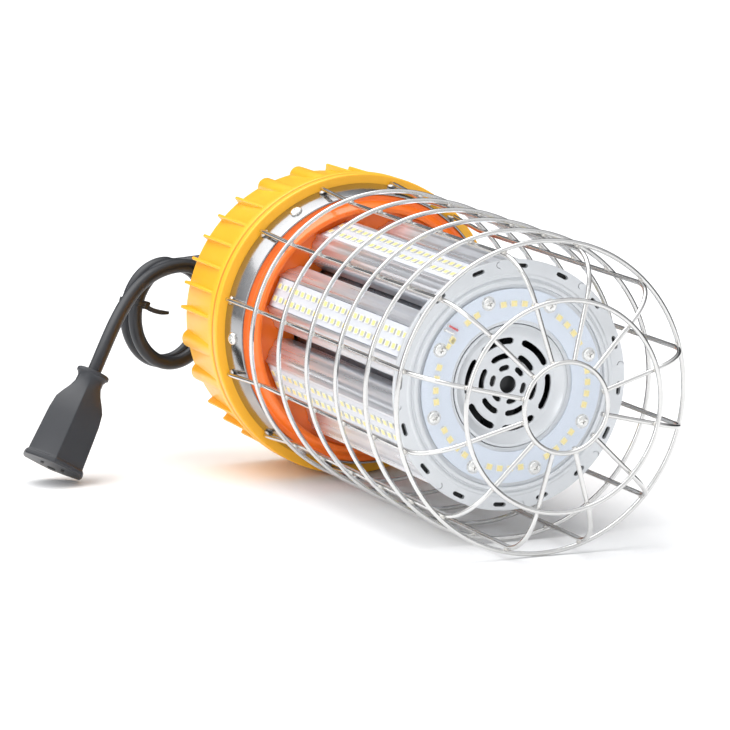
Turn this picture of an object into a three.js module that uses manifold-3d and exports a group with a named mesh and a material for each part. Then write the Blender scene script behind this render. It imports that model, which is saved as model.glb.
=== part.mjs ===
// A caged LED work light lying on its side, with a fan in its nose and a swivel hook on its back.
//
// Every lamp piece is made on the lamp's own axis: a point there is (x, s, z), where s runs along
// the axis towards the nose and s = 0 is the middle of the front cage ring. Clock angles turn
// about that axis, counter-clockwise as seen from the nose. The lamp is then rolled, laid down
// and set on the floor, with its nose towards -Y and +Z up. All sizes are millimetres.
import * as THREE from 'three';
import { mergeVertices } from 'three/addons/utils/BufferGeometryUtils.js';
import Module from 'manifold-3d';

const wasm = await Module();
wasm.setup();

// ---------------------------------------------------------------- driving sizes
const gap = 0.3; // clearance between pieces that touch

// the band's outside radius, which the other round pieces keep their share of
const bandRadius = 82;
const girth = bandRadius / 82;

// cage
const wire = 2.6;
const ringRadius = bandRadius + 1; // centre line of the round cage rings
const ringPitch = 40.2;
const ringCount = 6;
const wireCount = 12;
const domeBend = 23.7; // bend radius where the long wires turn over the nose
const domeRingRadius = 55.8 * girth;
const noseRingRadius = 23.9 * girth;
const wireSlope = 28; // from the back ring to the collar, where the wires lean out to the band
const noseRise = 2.3; // how much further forward the wires' ends are than the bend

// band that carries the cage
const bandWall = 1;
const bandWidth = 16;
const bandDrop = 3.8; // how much smaller its front edge is than its back edge
const bandScrewHole = 4.2;
const bandScrewCount = 6;
const bandScrewAngle = 45;

// housing
const flangeRadius = bandRadius + wire + 2.7;
const flangeRingDepth = 5.3;
const sealDepth = 1.5;
const sealInset = 2.1; // how far the seal sits in from the flange's edge
const housingDepth = 55;
const housingFlangeDepth = 6;
const housingFrontRadius = flangeRadius - 2.3;
const housingBackRadius = flangeRadius - 5.8;
const housingWall = 4.5;
const ribTip = flangeRadius - 1.5; // radius that the ribs and lobes reach
const ribWidth = 2.2;
const ribAngles = [-24.5, -14.7, -4.9, 4.9, 14.7, 24.5];
const lobeRadius = 5.4;
const lobeAngle = 7.4; // half the angle between the two lobes of a pair

// collar
const collarHeight = 15.5;
const collarShoulder = 74 * girth;
const collarBossHeight = 7;
const collarBossSlope = 3;
const collarBore = 62 * girth;
const collarSeatRadius = 68.2 * girth;

// light columns
const columnCount = 8;
const columnAngle = 5;
const columnFace = 63 * girth; // distance from the axis to the face behind the light strip
const columnHalf = 18.8 * girth; // half the width of a column
const columnFoot = 15 * girth; // half its width where it meets the core
const columnSeat = 1.7; // how far the columns' ends stand off the collar's floor
const stripWidth = 17;
const stripWall = 1.3;
const coreRadius = 45 * girth;
const coreWall = 3;

// nose
const plateFront = -38.5; // front face of the end plate
const plateWall = 2.5;
const plateRadius = 67.6 * girth;
const bezelOuter = 57 * girth;
const bezelHeight = 2;
const coverOuter = 54.2 * girth;
const coverInner = 33.7 * girth;
const coverWall = 1.6;
const coverHeight = 5;
const boardWall = 1.2;
const slotRadius = 64.3 * girth;
const slotWidth = 2.6;
const slotLength = 7.6;
const slotAngle = 35;
const slotOffset = 11.3; // half the clock angle between the two slots of a pair
const grilleFloor = 26.8 * girth;
const grilleDepth = 4.6;
const grilleWall = 1.3;
const grilleHole = 4.8;
const grilleRings = [
  { radius: 9.3, width: 3, half: 18, turn: 28 },
  { radius: 15.6, width: 3.2, half: 21, turn: 30 },
  { radius: 23.6, width: 3.6, half: 23.5, turn: 30 },
];
const grilleSlots = 6;

// fan
const fanFront = -46.5;
const fanDepth = 20;
const fanRadius = 40.5 * girth;
const fanWall = 4;
const fanHub = 13;
const fanBlades = 7;
const bladeGap = 1.5;

// driver
const driverSize = { width: 96 * girth, height: 66 * girth, depth: 34 };

// glands on the back
const glandOffset = 51 * girth; // distance from the axis
const outputGlandAngle = 138;
const inletGlandAngle = 10;
const glandNut = 11;
const glandNutDepth = 6;
const reliefLength = 20;
const cord = 8.1;

// swivel hook
const hookAngle = 253.8; // clock angle that the hook's heavy side hangs at
const studStem = 5;
const studHead = 8;
const studFlange = 14;
const hookRod = 7;
const bowRadius = 23;
const bowCentre = 54; // behind the back face
const latchWidth = 3;
const latchPin = 3;

// how the lamp lies
const restRoll = 16.2;

// ---------------------------------------------------------------- places that follow from the sizes
const rad = THREE.MathUtils.degToRad;
const wireRadius = ringRadius - wire - gap;
const bandWireRadius = bandRadius + gap + wire / 2;
const backRingS = -ringPitch * (ringCount - 1);
const bandFront = backRingS - wireSlope - (collarHeight - bandWidth);
const bandBack = bandFront - bandWidth;
const flangeRingFront = bandBack - gap;
const sealFront = flangeRingFront - flangeRingDepth - gap;
const housingFront = sealFront - sealDepth - gap;
const housingBack = housingFront - housingDepth;
const cavityRadius = housingBackRadius - housingWall;
const collarFloor = bandBack + collarHeight;
const columnFront = plateFront - plateWall - gap;
const columnBack = collarFloor + columnSeat;
const wireEndRadius = noseRingRadius - wire / 2;
const domeRingS = domeBend + wire + gap;
const noseRingS = domeBend + noseRise + wire + gap;
const noseTip = noseRingS + wire / 2;
const hookTip = housingBack - bowCentre - bowRadius - hookRod / 2;
const pitch = Math.atan((flangeRadius - ringRadius - wire / 2) / -housingFront);

// ---------------------------------------------------------------- shape tools
function toSolid(geometry) {
  const plain = geometry.clone();
  plain.deleteAttribute('normal');
  plain.deleteAttribute('uv');
  const merged = mergeVertices(plain, 1e-4);
  return new wasm.Manifold(new wasm.Mesh({
    numProp: 3,
    vertProperties: new Float32Array(merged.attributes.position.array),
    triVerts: new Uint32Array(merged.index.array),
  }));
}

function toGeometry(solid) {
  const mesh = solid.getMesh();
  const geometry = new THREE.BufferGeometry();
  geometry.setAttribute('position', new THREE.BufferAttribute(mesh.vertProperties, 3));
  geometry.setIndex(new THREE.BufferAttribute(mesh.triVerts, 1));
  return geometry;
}

function joined(pieces) {
  return pieces.map(toSolid).reduce((whole, piece) => whole.add(piece));
}

function cutFrom(geometry, cutters) {
  return toGeometry(cutters.reduce((body, cutter) => body.subtract(toSolid(cutter)), toSolid(geometry)));
}

// A turned piece: the outline's points are [radius, s], going up its outside.
function turned(outline, segments, closed = true) {
  const points = outline.map(([radius, s]) => new THREE.Vector2(radius, s));
  if (closed) points.push(points[0].clone());
  return new THREE.LatheGeometry(points, segments);
}

// An extrusion along the axis: the shape's x is tangential and its y is radial.
const radialFrame = new THREE.Matrix4().makeBasis(
  new THREE.Vector3(0, 0, 1),
  new THREE.Vector3(1, 0, 0),
  new THREE.Vector3(0, 1, 0),
);

function alongAxis(shape, fromS, toS, angle = 0, curveSegments = 4) {
  const depth = toS - fromS;
  const geometry = new THREE.ExtrudeGeometry(shape, { depth, bevelEnabled: false, curveSegments });
  geometry.applyMatrix4(radialFrame);
  geometry.translate(0, fromS, 0);
  return geometry.rotateY(rad(angle));
}

function rectangle(halfWidth, fromR, toR) {
  return new THREE.Shape([
    new THREE.Vector2(-halfWidth, fromR),
    new THREE.Vector2(halfWidth, fromR),
    new THREE.Vector2(halfWidth, toR),
    new THREE.Vector2(-halfWidth, toR),
  ]);
}

function arcSlot(radius, width, half) {
  const slot = new THREE.Shape();
  slot.absarc(0, 0, radius + width / 2, rad(90 - half), rad(90 + half), false);
  slot.absarc(0, 0, radius - width / 2, rad(90 + half), rad(90 - half), true);
  return slot;
}

function rod(radius, length, segments) {
  return new THREE.CylinderGeometry(radius, radius, length, segments);
}

// A path that is sampled exactly at its own points.
class PointPath extends THREE.Curve {
  constructor(points) {
    super();
    this.points = points;
  }

  getPoint(t) {
    const place = Math.min(t, 1) * (this.points.length - 1);
    const index = Math.min(Math.floor(place), this.points.length - 2);
    return this.points[index].clone().lerp(this.points[index + 1], place - index);
  }

  getPointAt(u) {
    return this.getPoint(u);
  }

  getTangent(t) {
    const last = this.points.length - 1;
    const index = Math.round(t * last);
    const before = this.points[Math.max(index - 1, 0)];
    const here = this.points[index];
    const after = this.points[Math.min(index + 1, last)];
    const arriving = here.clone().sub(before).normalize();
    const leaving = after.clone().sub(here).normalize();
    return arriving.add(leaving).normalize();
  }

  getTangentAt(u) {
    return this.getTangent(u);
  }
}

function tube(points, radius, sides) {
  const section = new THREE.Shape();
  for (let side = 0; side < sides; side += 1) {
    const angle = (side / sides) * 2 * Math.PI;
    const draw = side === 0 ? 'moveTo' : 'lineTo';
    section[draw](radius * Math.cos(angle), radius * Math.sin(angle));
  }
  return new THREE.ExtrudeGeometry(section, {
    extrudePath: new PointPath(points),
    steps: points.length - 1,
    bevelEnabled: false,
  });
}

// ---------------------------------------------------------------- finishes
const finishes = {
  steel: { color: 0xc9cbcc, roughness: 0.25, metalness: 1 },
  housing: { color: 0xfccb33, roughness: 0.5, metalness: 0 },
  seal: { color: 0xee8a0a, roughness: 0.6, metalness: 0 },
  collar: { color: 0xf75f1c, roughness: 0.45, metalness: 0 },
  aluminium: { color: 0xbfc4c8, roughness: 0.25, metalness: 1 },
  plate: { color: 0xc8cdd4, roughness: 0.35, metalness: 0.6 },
  board: { color: 0xf3f2ee, roughness: 0.5, metalness: 0 },
  cover: { color: 0xdfe9f5, roughness: 0.08, metalness: 0, transparent: true, opacity: 0.35 },
  black: { color: 0x232427, roughness: 0.6, metalness: 0 },
  plastic: { color: 0x1b1c1e, roughness: 0.45, metalness: 0 },
};

const lamp = new THREE.Group(); // pieces on the lamp's axis
const light = new THREE.Group();
light.name = 'work_light';

function place(group, name, geometry, finish) {
  const material = new THREE.MeshStandardMaterial(finishes[finish]);
  material.name = finish;
  const mesh = new THREE.Mesh(geometry, material);
  mesh.name = name;
  group.add(mesh);
  return mesh;
}

const add = (name, geometry, finish) => place(lamp, name, geometry, finish);
const clock = (count, first, each) => {
  for (let index = 0; index < count; index += 1) each(first + (index * 360) / count, index + 1);
};

// ---------------------------------------------------------------- cage
function longWire(angle) {
  const stations = [
    [bandWireRadius, bandBack + wire],
    [wireRadius, backRingS],
    [wireRadius, backRingS / 2],
    [wireRadius, 0],
  ];
  const steps = 5;
  for (let step = 1; step <= steps; step += 1) {
    const turn = rad((90 * step) / steps);
    const radius = wireRadius - domeBend * (1 - Math.cos(turn));
    stations.push([radius, domeBend * Math.sin(turn)]);
  }
  stations.push([wireEndRadius, domeBend + noseRise]);
  const points = stations.map(([radius, s]) => new THREE.Vector3(radius, s, 0));
  return tube(points, wire / 2, 6).rotateY(rad(angle));
}

function cageRing(radius, s, segments) {
  return new THREE.TorusGeometry(radius, wire / 2, 6, segments).rotateX(Math.PI / 2).translate(0, s, 0);
}

function addCage() {
  clock(wireCount, 0, (angle, number) => add(`cage_wire_${number}`, longWire(angle), 'steel'));
  for (let ring = 0; ring < ringCount; ring += 1) {
    add(`cage_ring_${ring + 1}`, cageRing(ringRadius, backRingS + ring * ringPitch, 32), 'steel');
  }
  add('dome_ring', cageRing(domeRingRadius, domeRingS, 28), 'steel');
  add('nose_ring', cageRing(noseRingRadius, noseRingS, 20), 'steel');
}

// Holes for the screws that fix the band to the collar.
function bandScrewCutters(fromR, toR) {
  const cutters = [];
  clock(bandScrewCount, bandScrewAngle, (angle) => {
    const cutter = rod(bandScrewHole / 2, toR - fromR, 10).rotateZ(Math.PI / 2);
    cutter.translate((fromR + toR) / 2, (bandFront + bandBack) / 2, 0);
    cutters.push(cutter.rotateY(rad(angle)));
  });
  return cutters;
}

function addBand() {
  const inside = bandRadius - bandWall;
  const strip = turned([
    [inside, bandBack], [bandRadius, bandBack],
    [bandRadius - bandDrop, bandFront], [inside - bandDrop, bandFront],
  ], 48);
  add('cage_band', cutFrom(strip, bandScrewCutters(inside - bandDrop - 5, bandRadius + 5)), 'steel');
}

// ---------------------------------------------------------------- housing
function addHousing() {
  const lip = 1.2;
  add('flange_ring', turned([
    [collarBore, flangeRingFront - flangeRingDepth],
    [flangeRadius, flangeRingFront - flangeRingDepth],
    [flangeRadius, flangeRingFront - lip],
    [flangeRadius - lip, flangeRingFront],
    [collarBore, flangeRingFront],
  ], 48), 'housing');

  add('seal_ring', turned([
    [cavityRadius, sealFront - sealDepth],
    [flangeRadius - sealInset, sealFront - sealDepth],
    [flangeRadius - sealInset, sealFront],
    [cavityRadius, sealFront],
  ], 48), 'seal');

  const flangeBack = housingFront - housingFlangeDepth;
  const shell = turned([
    [0, housingBack],
    [housingBackRadius - 3, housingBack],
    [housingBackRadius, housingBack + 3],
    [housingFrontRadius, flangeBack],
    [flangeRadius, flangeBack],
    [flangeRadius, housingFront],
    [cavityRadius, housingFront],
    [cavityRadius, housingBack + housingWall],
    [0, housingBack + housingWall],
  ], 48, false);

  const ridges = [];
  const ribBack = housingBack + 1.5;
  const ribFront = flangeBack + 1;
  clock(4, 0, (notch) => {
    for (const side of [-1, 1]) {
      const lobe = rod(lobeRadius, ribFront - ribBack, 12);
      lobe.translate(ribTip - lobeRadius, (ribFront + ribBack) / 2, 0);
      ridges.push(lobe.rotateY(rad(notch + side * lobeAngle)));
    }
    for (const rib of ribAngles) {
      const bar = rectangle(ribWidth / 2, ribTip - lobeRadius, ribTip);
      ridges.push(alongAxis(bar, ribBack, ribFront, notch + 45 + rib));
    }
  });
  const whole = joined([shell, ...ridges]);

  const holes = [rod(studStem + gap, 3 * housingWall, 20).translate(0, housingBack, 0)];
  for (const angle of [outputGlandAngle, inletGlandAngle]) {
    const hole = rod(cord / 2 + 3 + gap, 3 * housingWall, 16);
    holes.push(hole.translate(glandOffset, housingBack, 0).rotateY(rad(angle)));
  }
  add('rear_housing', cutFrom(toGeometry(whole), holes), 'housing');

  const { width, height, depth } = driverSize;
  const driver = new THREE.BoxGeometry(width, depth, height);
  add('led_driver', driver.translate(0, housingFront - gap - depth / 2, 0), 'aluminium');
}

function addCollar() {
  const outside = bandRadius - bandWall - gap;
  const body = turned([
    [collarBore, flangeRingFront + gap],
    [outside, flangeRingFront + gap],
    [outside - (bandDrop * collarHeight) / bandWidth, collarFloor],
    [collarShoulder, collarFloor],
    [collarShoulder - collarBossSlope, collarFloor + collarBossHeight],
    [collarSeatRadius, collarFloor + collarBossHeight],
    [collarSeatRadius, columnBack - gap],
    [collarBore, columnBack - gap],
  ], 48);
  add('collar', cutFrom(body, bandScrewCutters(collarSeatRadius + 2, outside + 5)), 'collar');
}

// ---------------------------------------------------------------- light columns
function columnShape() {
  const seat = stripWidth / 2 + gap;
  const lip = 1.3; // rails beside the strip
  const right = [
    [seat, columnFace],
    [seat, columnFace + lip],
    [seat + lip, columnFace + lip],
    [seat + 3, columnFace - 1.2],
    [columnHalf - 4.2, columnFace - 2.4],
    [columnHalf - 3.4, columnFace - 4.4],
    [columnHalf, columnFace - 8],
    [columnHalf, columnFace - 11],
    [columnFoot, coreRadius + gap],
  ];
  const left = right.map(([x, y]) => [-x, y]).reverse();
  // The outline goes round counter-clockwise: up the right side, across the face and down the left.
  const outline = [...right.slice().reverse(), ...left.slice().reverse()];
  return new THREE.Shape(outline.map(([x, y]) => new THREE.Vector2(x, y)));
}

function addColumns() {
  const stripMargin = 1;
  clock(columnCount, columnAngle, (angle, number) => {
    add(`light_column_${number}`, alongAxis(columnShape(), columnBack, columnFront, angle), 'aluminium');
    const strip = rectangle(stripWidth / 2, columnFace + gap, columnFace + gap + stripWall);
    const length = [columnBack + stripMargin, columnFront - stripMargin];
    add(`led_strip_${number}`, alongAxis(strip, ...length, angle), 'board');
  });
  const inside = coreRadius - coreWall;
  const front = columnFront - gap;
  add('core_tube', turned([
    [inside, housingFront], [coreRadius, housingFront], [coreRadius, front], [inside, front],
  ], 32), 'aluminium');
}

// ---------------------------------------------------------------- nose
function addNose() {
  const plateBack = plateFront - plateWall;
  const bore = coverInner - gap;
  const disc = turned([
    [bore, plateBack],
    [plateRadius, plateBack],
    [plateRadius, plateFront - 0.6],
    [plateRadius - 0.6, plateFront],
    [bezelOuter, plateFront],
    [bezelOuter - 0.5, plateFront + bezelHeight],
    [coverOuter + gap, plateFront + bezelHeight],
    [coverOuter + gap, plateFront],
    [bore, plateFront],
  ], 48);
  const slots = [];
  const half = THREE.MathUtils.radToDeg(slotLength / 2 / slotRadius);
  clock(columnCount, slotAngle, (angle) => {
    for (const side of [-1, 1]) {
      const slot = arcSlot(slotRadius, slotWidth, half);
      slots.push(alongAxis(slot, plateBack - 1, plateFront + 1, angle + side * slotOffset, 2));
    }
  });
  add('end_plate', cutFrom(disc, slots), 'plate');

  const boardBack = plateFront + gap;
  const boardIn = coverInner + coverWall + gap;
  const boardOut = coverOuter - coverWall - gap;
  add('end_light_board', turned([
    [boardIn, boardBack], [boardOut, boardBack], [boardOut, boardBack + boardWall],
    [boardIn, boardBack + boardWall],
  ], 40), 'board');

  const coverTop = boardBack + coverHeight;
  add('end_cover', turned([
    [coverInner, boardBack],
    [coverInner + coverWall, boardBack],
    [coverInner + coverWall, coverTop - coverWall],
    [coverOuter - coverWall, coverTop - coverWall],
    [coverOuter - coverWall, boardBack],
    [coverOuter, boardBack],
    [coverOuter, coverTop - 0.8],
    [coverOuter - 0.8, coverTop],
    [coverInner + 0.8, coverTop],
    [coverInner, coverTop - 0.8],
  ], 40), 'cover');

  const rim = coverInner - 2 * gap;
  const floorBack = plateFront - grilleDepth;
  const dish = turned([
    [0, floorBack],
    [grilleFloor + 1.4, floorBack],
    [rim, plateFront],
    [rim - 1.6, plateFront],
    [grilleFloor, floorBack + grilleWall],
    [0, floorBack + grilleWall],
  ], 40, false);
  const vents = [rod(grilleHole * girth, 4 * grilleWall, 16).translate(0, floorBack, 0)];
  for (const { radius, width, half: halfAngle, turn } of grilleRings) {
    clock(grilleSlots, turn, (angle) => {
      const vent = arcSlot(radius * girth, width * girth, halfAngle);
      vents.push(alongAxis(vent, floorBack - 1, floorBack + grilleWall + 1, angle, 4));
    });
  }
  add('grille', cutFrom(dish, vents), 'plate');
}

function addFan() {
  const inner = fanRadius - fanWall;
  const back = fanFront - fanDepth;
  const spiderWall = 3;
  const pieces = [
    turned([[inner, back], [fanRadius, back], [fanRadius, fanFront], [inner, fanFront]], 32),
    rod(fanHub - 1, spiderWall, 20).translate(0, back + spiderWall / 2, 0),
  ];
  clock(3, 30, (angle) => {
    pieces.push(alongAxis(rectangle(2.5, 0, inner + 1), back, back + spiderWall, angle));
  });
  add('fan_frame', toGeometry(joined(pieces)), 'plastic');

  const hubBack = back + spiderWall + gap;
  const hubFront = fanFront - 1;
  const rotor = [rod(fanHub, hubFront - hubBack, 24).translate(0, (hubFront + hubBack) / 2, 0)];
  const bladeFrom = fanHub - 2;
  const bladeTo = inner - bladeGap;
  clock(fanBlades, 0, (angle) => {
    const blade = new THREE.BoxGeometry(bladeTo - bladeFrom, 1.6, 17);
    blade.rotateX(rad(32)).translate((bladeTo + bladeFrom) / 2, (hubFront + hubBack) / 2, 0);
    rotor.push(blade.rotateY(rad(angle)));
  });
  // The blades' tips are trimmed to a circle that clears the frame.
  const sweep = toSolid(rod(bladeTo, fanDepth, 32).translate(0, (hubFront + hubBack) / 2, 0));
  add('fan_rotor', toGeometry(joined(rotor).intersect(sweep)), 'plastic');
}

// ---------------------------------------------------------------- glands and hook on the back
// Outlines here are [radius, distance behind the back face].
function behind(outline, segments, closed = true) {
  const flipped = outline.map(([radius, distance]) => [radius, housingBack - distance]).reverse();
  return turned(flipped, segments, closed);
}

function addGlands() {
  const nut = [
    [0, -housingWall + 1],
    [cord / 2 + 3, -housingWall + 1],
    [cord / 2 + 3, gap],
    [glandNut, gap],
    [glandNut, glandNutDepth - 1],
    [glandNut - 1, glandNutDepth],
  ];
  const relief = [
    [cord / 2 + 3.2, glandNutDepth + 0.5],
    [cord / 2 + 1.2, glandNutDepth + reliefLength],
    [0, glandNutDepth + reliefLength],
  ];
  const output = behind([...nut, ...relief], 16, false).translate(glandOffset, 0, 0);
  add('output_gland', output.rotateY(rad(outputGlandAngle)), 'black');

  const bore = 2 * (cord / 2 + 0.2);
  const blank = [[glandNut - 3, glandNutDepth + 5], [0, glandNutDepth + 5]];
  const body = behind([...nut, ...blank], 16, false);
  const passage = rod(bore / 2, 12, 12).translate(0, housingBack - glandNutDepth - 5, 0);
  const inlet = cutFrom(body, [passage]).translate(glandOffset, 0, 0);
  add('inlet_gland', inlet.rotateY(rad(inletGlandAngle)), 'black');
}

// A point of the hook's plane: across from the axis, and behind the back face.
function hookPoint(across, distance) {
  return new THREE.Vector3(across, housingBack - distance, 0);
}

function hookBox(across, distance, thick, size) {
  const box = new THREE.BoxGeometry(size[0], size[1], thick);
  return box.translate(across, housingBack - distance, 0);
}

function addHook() {
  const flangeTop = 4;
  const collarFrom = flangeTop + gap + 0.7;
  const collarTo = collarFrom + 8;
  const headFrom = collarTo + gap;
  const headTo = headFrom + 3;
  add('hook_stud', behind([
    [0, -housingWall - 5],
    [9, -housingWall - 5],
    [9, -housingWall - gap],
    [studStem, -housingWall - gap],
    [studStem, gap],
    [studFlange, gap],
    [studFlange, flangeTop],
    [studStem, flangeTop],
    [studStem, headFrom],
    [studHead, headFrom],
    [studHead, headTo],
    [0, headTo],
  ], 24, false), 'steel');

  const armWidth = 4.5;
  const bailHalf = studHead + 1 + armWidth;
  const bridge = headTo + 6;
  const collar = behind([
    [studStem + gap, collarFrom], [bailHalf, collarFrom], [bailHalf, collarTo],
    [studStem + gap, collarTo],
  ], 24);
  const arms = [-1, 1].map((side) => {
    const reach = bridge + 3 - collarFrom - 1;
    return hookBox(side * (bailHalf - armWidth / 2), collarFrom + 1 + reach / 2, 8, [armWidth, reach]);
  });
  const bar = hookBox(0, bridge, 8, [2 * bailHalf, 6]);
  const bow = [hookPoint(7, bridge), hookPoint(9.5, bridge + 5)];
  const steps = 14;
  const [bowFrom, bowTo] = [-48, 205];
  for (let step = 0; step <= steps; step += 1) {
    const turn = rad(bowFrom + ((bowTo - bowFrom) * step) / steps);
    bow.push(hookPoint(bowRadius * Math.cos(turn), bowCentre + bowRadius * Math.sin(turn)));
  }
  const pivot = { across: -9, distance: bridge + 6.5 };
  const lug = hookBox(pivot.across, (bridge + pivot.distance) / 2 + 1.5, 4, [6, pivot.distance - bridge + 3]);
  const pinHole = rod(latchPin / 2 + gap, 12, 16).rotateX(Math.PI / 2);
  pinHole.translate(pivot.across, housingBack - pivot.distance, 0);
  const solid = joined([collar, ...arms, bar, tube(bow, hookRod / 2, 10), lug]);
  const hook = cutFrom(toGeometry(solid), [pinHole]);
  add('hook', hook.rotateY(rad(hookAngle)), 'steel');

  const earGap = 4 / 2 + gap;
  const earWall = 1.4;
  const halfLatch = earGap + earWall;
  const pin = rod(latchPin / 2, 2 * halfLatch + 1.6, 16).rotateX(Math.PI / 2);
  pin.translate(pivot.across, housingBack - pivot.distance, 0);
  add('latch_pin', pin.rotateY(rad(hookAngle)), 'steel');

  // The latch closes the hook's mouth: two ears on the pin, joined by a bar to the bow's end.
  const tipTurn = rad(199);
  const tipRadius = bowRadius - hookRod / 2 - latchWidth / 2 - gap;
  const tip = [tipRadius * Math.cos(tipTurn), bowCentre + tipRadius * Math.sin(tipTurn)];
  const reach = Math.hypot(tip[0] - pivot.across, tip[1] - pivot.distance);
  const lean = Math.atan2(tip[0] - pivot.across, tip[1] - pivot.distance);
  const eyes = [-1, 1].map((side) => {
    const eye = rod(3.2, earWall, 16).rotateX(Math.PI / 2);
    return eye.translate(0, 0, side * (earGap + earWall / 2));
  });
  const plates = [-1, 1].map((side) => {
    const plate = new THREE.BoxGeometry(latchWidth + 1, reach / 2, earWall);
    return plate.translate(0, -reach / 4, side * (earGap + earWall / 2));
  });
  const start = 6.6;
  const strap = new THREE.BoxGeometry(latchWidth, reach - start, 2 * halfLatch);
  strap.translate(0, -(start + (reach - start) / 2), 0);
  const bore = rod(latchPin / 2 + gap, 12, 16).rotateX(Math.PI / 2);
  const latch = cutFrom(toGeometry(joined([...eyes, ...plates, strap])), [bore]);
  latch.rotateZ(lean).translate(pivot.across, housingBack - pivot.distance, 0);
  add('hook_latch', latch.rotateY(rad(hookAngle)), 'steel');
}

// ---------------------------------------------------------------- cord, placed in the room
// The cord leaves the output gland, makes a tied coil behind the housing, and hangs down to its
// connector, whose mouth comes down to the floor. Offsets are measured from the gland's end.
const leadOffsets = [[0, 0.5, 0], [0, 3.8, 0], [-0.3, 7.8, 0.1], [-1.7, 11.8, 0.2], [-3.1, 14.2, 0.3]];
const coilOffset = new THREE.Vector3(-32.1, 16.2, -27);
const coilTurn = 13; // degrees that the coil's left side is swung forwards
const coilInner = 20.6;
const coilOuter = 21.7 + cord * 1.44; // two layers of cord, the outer one nested in the inner
const coilWidth = cord * 2.15; // two strands side by side
const tieAngle = 14; // above the coil's left side
const tailOffset = new THREE.Vector3(-36.5, -19.2, -2.5); // from the coil's middle to the tail's start
const tailWay = new THREE.Vector3(-0.5, -0.72, -0.48).normalize();
const mouthOffset = [-125.5, -45.9];
const connectorWay = new THREE.Vector3(-0.49, -0.16, -0.857).normalize();
const connectorLength = 59.8;
const connectorMouthRadius = 18.5;
const connectorRim = 5; // depth of the flared rim at the mouth
const connectorBody = [[0, 0], [10.4, 0], [10.4, 2.4], [9, 5], [10.5, 10], [16.6, 24]];

function addCord(glandEnd) {
  const leadPoints = leadOffsets.map((offset) => new THREE.Vector3(...offset).add(glandEnd));
  place(light, 'cord_lead', tube(leadPoints, cord / 2, 8), 'black');

  const coilCentre = coilOffset.clone().add(glandEnd);
  const floorGap = 0.4;
  const rimDrop = connectorMouthRadius * Math.hypot(connectorWay.x, connectorWay.y);
  const mouth = new THREE.Vector3(...mouthOffset).add(glandEnd).setZ(rimDrop + floorGap);
  const neck = mouth.clone().addScaledVector(connectorWay, -connectorLength);
  const tailStart = coilCentre.clone().add(tailOffset);
  const tailEnd = neck.clone().addScaledVector(connectorWay, -gap);
  const straight = 3; // the last of the tail runs straight into the connector's neck
  const tailBend = tailEnd.clone().addScaledVector(connectorWay, -straight);
  const pull = 9; // how far each end of the bend keeps its own direction
  const tail = new THREE.CubicBezierCurve3(
    tailStart,
    tailStart.clone().addScaledVector(tailWay, pull),
    tailBend.clone().addScaledVector(connectorWay, -pull),
    tailBend,
  );
  place(light, 'cord_tail', tube([...tail.getPoints(5), tailEnd], cord / 2, 8), 'black');

  const round = 3;
  const coil = place(light, 'cord_coil', turned([
    [coilInner, -coilWidth / 2 + round],
    [coilInner + round, -coilWidth / 2],
    [coilOuter - round, -coilWidth / 2],
    [coilOuter, -coilWidth / 2 + round],
    [coilOuter, coilWidth / 2 - round],
    [coilOuter - round, coilWidth / 2],
    [coilInner + round, coilWidth / 2],
    [coilInner, coilWidth / 2 - round],
  ], 28), 'black');
  coil.position.copy(coilCentre);
  coil.rotation.z = rad(coilTurn);

  const wall = 1.3;
  const halfHigh = (coilOuter - coilInner) / 2 + gap;
  const halfWide = coilWidth / 2 + gap;
  const outline = (across, along) => [
    new THREE.Vector2(-across, -along), new THREE.Vector2(across, -along),
    new THREE.Vector2(across, along), new THREE.Vector2(-across, along),
  ];
  const loop = new THREE.Shape(outline(halfHigh + wall, halfWide + wall));
  loop.holes.push(new THREE.Path(outline(halfHigh, halfWide).reverse()));
  const depth = 3.6;
  const band = new THREE.ExtrudeGeometry(loop, { depth, bevelEnabled: false });
  band.translate(-(coilInner + coilOuter) / 2, 0, -depth / 2);
  const tie = place(light, 'cord_tie', band.rotateY(rad(tieAngle)), 'plastic');
  tie.position.copy(coilCentre);
  tie.rotation.z = rad(coilTurn);

  const body = [
    ...connectorBody,
    [connectorMouthRadius - 1.1, connectorLength - connectorRim - 3],
    [connectorMouthRadius, connectorLength - connectorRim],
    [connectorMouthRadius, connectorLength],
    [0, connectorLength],
  ];
  const connector = place(light, 'connector', turned(body, 16, false), 'plastic');
  connector.position.copy(neck);
  connector.quaternion.setFromUnitVectors(new THREE.Vector3(0, 1, 0), connectorWay);
}

// ---------------------------------------------------------------- the whole light
addCage();
addBand();
addHousing();
addCollar();
addColumns();
addNose();
addFan();
addGlands();
addHook();

// The front cage ring and the flange both touch the floor, and the middle of the length is at Y = 0.
const rolled = new THREE.Group();
rolled.rotation.y = rad(restRoll);
rolled.add(...lamp.children);
const laid = new THREE.Group();
laid.rotation.x = Math.PI + pitch;
const middle = (noseTip + hookTip) / 2;
laid.position.set(0, middle * Math.cos(pitch), (ringRadius + wire / 2) * Math.cos(pitch));
laid.add(rolled);
light.add(laid);

light.updateMatrixWorld(true);
const glandTurn = rad(outputGlandAngle);
addCord(rolled.localToWorld(new THREE.Vector3(
  glandOffset * Math.cos(glandTurn),
  housingBack - glandNutDepth - reliefLength,
  -glandOffset * Math.sin(glandTurn),
)));

export default light;
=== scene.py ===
"""Looks for a caged LED work light that lies on its side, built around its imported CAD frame."""

import math

import bmesh
import bpy
from mathutils import Matrix, Vector


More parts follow.
